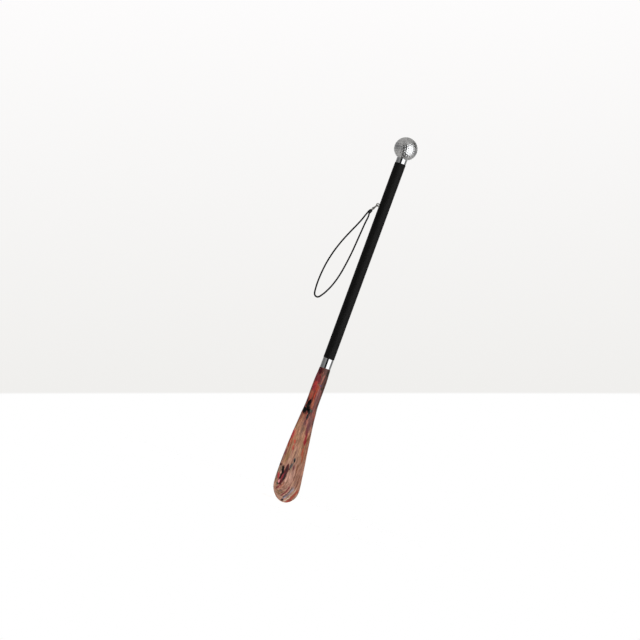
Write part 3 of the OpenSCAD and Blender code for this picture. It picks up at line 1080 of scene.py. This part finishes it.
# Nested rings in the foot of the spoon: pigment, distance from their centre and half width
RINGS = [
    ("wine", 32.4, 1.4),
    ("pale_rose", 35.2, 1.0),
    ("slate", 37.4, 0.7),
    ("lavender", 40.0, 1.5),
    ("off_white", 44.6, 0.7),
    ("rust", 48.2, 2.3),
]
RING_SIDE = -18.9
RING_HEIGHT = 33.4
# Slopes down from the rings' centre over which the rings fade in and out
RING_START = (0.02, 0.2)
RING_END = (1.2, 0.85)
# Where edges start and end, as shares of a streak's softness and of a ring's half width
STREAK_EDGE = (-0.35, 0.65)
RING_EDGE = (1.35, 0.55)
# Pigments of the ground by the value of its grain, in the spoon and in the neck
SPOON_GROUND = {
    0.34: "umber", 0.41: "olive_tan", 0.47: "tan", 0.52: "salmon", 0.58: "clay", 0.64: "umber"
}
NECK_GROUND = {0.36: "maroon", 0.45: "mauve", 0.52: "brick", 0.58: "umber", 0.66: "dark_brown"}
KNOT_SIDE = -7.2
KNOT_HEIGHT = 44.2
KNOT_STRETCH = 1.4
NECK_HEIGHT = 128.0
NECK_FADE = 40.0
DUSTY_SPAN = (125, 65)  # heights between which the dusty pigment sets in
DUSTY_SHARE = 0.45
# Depth of a neck streak's centre and its reach, while other streaks go right through
FRONT_DEPTH = 11.0
NECK_REACH = 21.0
THROUGH = 1000.0
OUTSIDE = 1.8  # how far out an ellipse is measured, as a share of its size


def pigment(name):
    """A pigment as a shader colour."""
    return linear(PIGMENTS[name])


class Burl(Surface):
    """A surface with ellipses drawn into its solid pattern."""

    def inside(self, spot, across, up, half_width, half_length, tilt, wobble):
        """How far a spot is inside an ellipse: 1 at its middle, 0 on its edge and less outside."""
        front, reach = (FRONT_DEPTH, NECK_REACH) if up > NECK_HEIGHT else (0, THROUGH)
        sockets = {
            "Vector": spot,
            "Location": (across, up, front),
            "Rotation": (0, 0, math.radians(tilt)),
            "Scale": [OUTSIDE * size for size in (half_width, half_length, reach)],
        }
        moved = self.node("Mapping", sockets, vector_type="TEXTURE").outputs[0]
        ball = self.node("TexGradient", {"Vector": moved}, gradient_type="SPHERICAL")
        depth = self.math("MULTIPLY_ADD", ball.outputs["Fac"], OUTSIDE, 1 - OUTSIDE)
        return self.math("ADD", depth, wobble)


def burl_wood():
    """Lacquered multicoloured burl: long streaks that bend round a knot, with darker inclusions."""
    s = Burl("lacquered_burl", Coat_Weight=0.14, Coat_Roughness=0.18, Specular_IOR_Level=0.18)
    p = s.vector("SUBTRACT", s.place(), (0, 0, TIP_Z / MM))
    sway = s.noise(p, 0.055, 3, 0.55, out="Color")
    ripple = s.noise(p, 0.35, 2, 0.5, out="Color")
    centred = s.vector("SUBTRACT", sway, (0.5, 0.5, 0.5))
    fine = s.vector("SUBTRACT", ripple, (0.5, 0.5, 0.5))
    bent = s.vector("ADD", p, s.vector("MULTIPLY", centred, (5.0, 5.0, 9.0)))
    bent = s.vector("ADD", bent, s.vector("MULTIPLY", fine, (1.6, 1.6, 3.0)))
    side = s.dot(bent, tuple(VIEW_RIGHT))
    depth = s.dot(bent, tuple(VIEW_BACK))
    height = s.split(bent)[2]

    # Lines that run up the blade, and turn round the knot below it
    aside = s.math("SUBTRACT", side, KNOT_SIDE)
    under = s.math("MAXIMUM", s.math("SUBTRACT", KNOT_HEIGHT, height), 0.0)
    under = s.math("DIVIDE", under, KNOT_STRETCH)
    around = s.math("SQRT", s.math("ADD", s.times(aside, aside), s.times(under, under)))
    left = s.span(aside, -1.0, 1.0, -1.0, 1.0)
    flow = s.combine(s.times(around, left), s.times(depth, 0.7), height)

    broad = s.streaky(flow, (0.11, 0.11, 0.014), 3, 0.6)
    middle = s.streaky(flow, (0.42, 0.3, 0.03), 4, 0.65, 0.3)
    blend = s.math("ADD", s.times(broad, 0.55), s.times(middle, 0.45))
    tone, neck = (
        s.ramp(blend, [(at, pigment(name)) for at, name in ground.items()])
        for ground in (SPOON_GROUND, NECK_GROUND)
    )
    tone = s.mix(s.span(height, *DUSTY_SPAN, 0, DUSTY_SHARE), tone, pigment("dusty"))
    tone = s.mix(s.span(height, NECK_HEIGHT, NECK_HEIGHT + NECK_FADE), tone, neck)

    spot = s.combine(side, height, depth)
    wobble = s.span(middle, 0.3, 0.7, 0.2, -0.2)
    for name, *ellipse, soft in STREAKS:
        inside = s.inside(spot, *ellipse, wobble)
        share = s.span(inside, *[edge * soft for edge in STREAK_EDGE])
        tone = s.mix(share, tone, pigment(name))

    ring_x = s.math("SUBTRACT", side, RING_SIDE)
    ring_y = s.math("SUBTRACT", RING_HEIGHT, height)
    ring_place = s.vector("LENGTH", s.combine(ring_x, ring_y, 0.0), out="Value")
    slope = s.math("DIVIDE", ring_y, s.math("MAXIMUM", ring_x, 1.0))
    ring_share = s.times(s.span(slope, *RING_START), s.span(slope, *RING_END))
    for name, gap, half in RINGS:
        away = s.math("ABSOLUTE", s.math("SUBTRACT", ring_place, gap))
        band = s.span(away, *[edge * half for edge in RING_EDGE])
        tone = s.mix(s.times(band, ring_share), tone, pigment(name))

    fibre = s.streaky(flow, (0.5, 0.35, 0.024), 4, 0.62, 0.2)
    dark_fibre = s.mix(1.0, tone, (0.56, 0.42, 0.36, 1), "MULTIPLY")
    pale_fibre = s.mix(1.0, tone, (1.4, 1.42, 1.38, 1), "MULTIPLY")
    tone = s.mix(s.span(fibre, 0.49, 0.64, 0, 0.85), tone, dark_fibre)
    tone = s.mix(s.span(fibre, 0.49, 0.36, 0, 0.85), tone, pale_fibre)
    grain = s.streaky(flow, (2.2, 1.6, 0.09), 4, 0.65)
    pores = s.streaky(flow, (4.0, 3.0, 0.35), 2, 0.5)
    dark_grain = s.mix(1.0, tone, (0.62, 0.52, 0.46, 1), "MULTIPLY")
    tone = s.mix(s.span(grain, 0.3, 0.75, 0.45, 0.0), tone, dark_grain)
    tone = s.mix(s.span(pores, 0.66, 0.74, 0, 0.45), tone, linear((62, 42, 34)))
    s.set("Base Color", tone)
    s.set("Roughness", s.span(s.noise(p, 0.25, 4), 0.3, 0.7, 0.3, 0.42))
    s.set("Normal", s.bump(grain, 0.02 * MM))
    return s


coat(blade, burl_wood())


# --- Floor and light ---

FLOOR_R = 0.42
FLOOR_GAP = 0.2 * MM
FLOOR_SIDES = 96
FLOOR_COVER = 0.7
FLOOR_FADE = (0.1, 0.95)  # shares of the floor's radius between which it fades out


def make_floor():
    """Pale round floor under the tip that fades out into the background."""
    share = np.linspace(0.02, 1, 40)
    turns = [2 * math.pi * i / FLOOR_SIDES for i in range(FLOOR_SIDES)]
    level = TIP_Z - FLOOR_GAP
    verts = [
        (FLOOR_R * r * math.cos(a), FLOOR_R * r * math.sin(a) - TIP_SWEEP, level)
        for r in share
        for a in turns
    ]
    faces = grid_faces(len(share), FLOOR_SIDES) + [tuple(range(FLOOR_SIDES))[::-1]]
    floor = add_mesh("pale_floor", verts, faces)
    s = Surface("pale_floor", Roughness=0.6, Specular_IOR_Level=0.2, Emission_Strength=0.6)
    p = s.place()
    s.set("Base Color", s.mix(s.noise(p, 0.02, 3), (0.86, 0.86, 0.85, 1), (0.9, 0.9, 0.89, 1)))
    away = s.vector("LENGTH", s.vector("MULTIPLY", p, (1, 1, 0)), out="Value")
    fade = [edge * FLOOR_R / MM for edge in FLOOR_FADE]
    s.set("Alpha", s.span(away, *fade, FLOOR_COVER, 0.0))
    s.set("Emission Color", (1.0, 1.0, 1.0, 1.0))
    coat(floor, s)
    floor.visible_glossy = False


make_floor()

# Lights and cards: ranges of turn to the right and of rise, and the softness of edges, in degrees
SOFTBOX_LIGHT = 2.0
SOFTBOX_SHINE = 1.3
SOFTBOX_TURN = (11.0, 80.0)
SOFTBOX_RISE = (-42.0, 46.0)
SOFTBOX_EDGE = 1.5
FILL_LIGHT = 0.9
FILL_TURN = (-135.0, -40.0)
FILL_RISE = (-45.0, 45.0)
FILL_EDGE = 15.0
REAR_SHINE = 1.1
REAR_TURN = (160.0, 190.0)
REAR_RISE = (-28.0, 13.0)
REAR_EDGE = 3.0
WALL_RISE = (4, 22)  # rises between which the level walls turn into mottled ones
CARD_EDGE = 2.5
CARD_GREY = 0.01
# Grey of the walls by share of the way round, from behind by the left, the front and the right
WALLS = {0: 0.3, 0.14: 0.34, 0.24: 0.13, 0.38: 0.33, 0.45: 0.24, 0.74: 0.2, 0.85: 0.32, 1: 0.3}
# Backdrop that the camera sees, in sines of the angle above the line of sight
HORIZON = -0.0219
HORIZON_EDGE = 0.0004
BACKDROP_TOP = 0.096
BACKDROP_REACH = (0.97, 0.985)  # cosines off the line of sight between which it fades in
# Dark cards and stands round the softbox: turn and rise ranges, and how black they look
CARDS = [
    ((-17, -8), (-25, 3), 0.8),
    ((-26, 13), (-14, 38), 1.0),
    ((-26, 36), (-86, -38), 1.0),
    ((90, 136), (26, 54), 1.0),
    ((32, 60), (-60, -50), 0.7),
    ((60, 90), (-66, -50), 0.6),
]


def make_world():
    """Studio seen by the object: a tall softbox at the right, dark cards round it, a fill at the
    left, a light behind, and grey walls. The camera sees a pale backdrop and a white floor."""
    world = bpy.data.worlds.new("studio")
    bpy.context.scene.world = world
    world.use_nodes = True
    g = Graph(world.node_tree)
    way = g.node("TexCoord").outputs["Generated"]
    right, back = g.dot(way, tuple(VIEW_RIGHT)), g.dot(way, tuple(VIEW_BACK))
    turn = g.math("DEGREES", g.math("ARCTAN2", right, back))
    rise = g.math("DEGREES", g.math("ARCSINE", g.split(way)[2]))

    def window(value, low, high, soft):
        """1 between low and high and 0 outside, with soft edges."""
        inside = g.span(value, low - soft, low + soft)
        return g.times(inside, g.span(value, high + soft, high - soft))

    def panel(turns, rises, soft, across=turn):
        """1 on a rectangle of the studio's walls and 0 beside it."""
        return g.times(window(across, *turns, soft), window(rise, *rises, soft))

    round_share = g.span(turn, -180, 180, smooth=False)
    level = g.ramp(round_share, [(at, grey(value)) for at, value in WALLS.items()])
    coarse = g.noise(way, 2.2, 3, 0.6)
    mottle = g.noise(way, 6.5, 3, 0.6)
    high = g.mix(g.span(coarse, 0.35, 0.65), (0.3, 0.295, 0.285, 1), (0.64, 0.625, 0.605, 1))
    walls = g.mix(g.span(g.math("ABSOLUTE", rise), *WALL_RISE), level, high)
    walls = g.mix(g.span(mottle, 0.38, 0.62, 0.65, 0.0), walls, grey(0.12))
    for turns, rises, black in CARDS:
        dark = g.times(panel(turns, rises, CARD_EDGE), black)
        walls = g.mix(dark, walls, grey(CARD_GREY))
    light = g.node("LightPath").outputs
    glow = g.mix(
        light["Is Glossy Ray"],
        (SOFTBOX_LIGHT, SOFTBOX_LIGHT, 0.98 * SOFTBOX_LIGHT, 1),
        grey(SOFTBOX_SHINE),
    )
    fill = g.times(panel(FILL_TURN, FILL_RISE, FILL_EDGE), light["Is Diffuse Ray"])
    walls = g.mix(fill, walls, grey(FILL_LIGHT))
    behind = panel(REAR_TURN, REAR_RISE, REAR_EDGE, g.math("ABSOLUTE", turn))
    walls = g.mix(behind, walls, grey(REAR_SHINE))
    studio = g.mix(panel(SOFTBOX_TURN, SOFTBOX_RISE, SOFTBOX_EDGE), walls, glow)

    rise_seen = g.dot(way, tuple(PICTURE_UP))
    backdrop = g.mix(
        g.span(rise_seen, HORIZON, BACKDROP_TOP, smooth=False),
        linear((240, 239, 237)),
        linear((253, 252, 252)),
    )
    ahead = g.times(back, -1.0)
    backdrop = g.mix(g.span(ahead, *BACKDROP_REACH), linear((248, 248, 247)), backdrop)
    below = g.span(rise_seen, HORIZON + HORIZON_EDGE, HORIZON - HORIZON_EDGE)
    seen = g.mix(below, backdrop, grey(1))
    g.put(g.nodes["Background"].inputs["Color"], g.mix(light["Is Camera Ray"], studio, seen))


make_world()
scene = bpy.context.scene
scene.view_settings.view_transform = "Standard"
scene.cycles.use_denoising = True
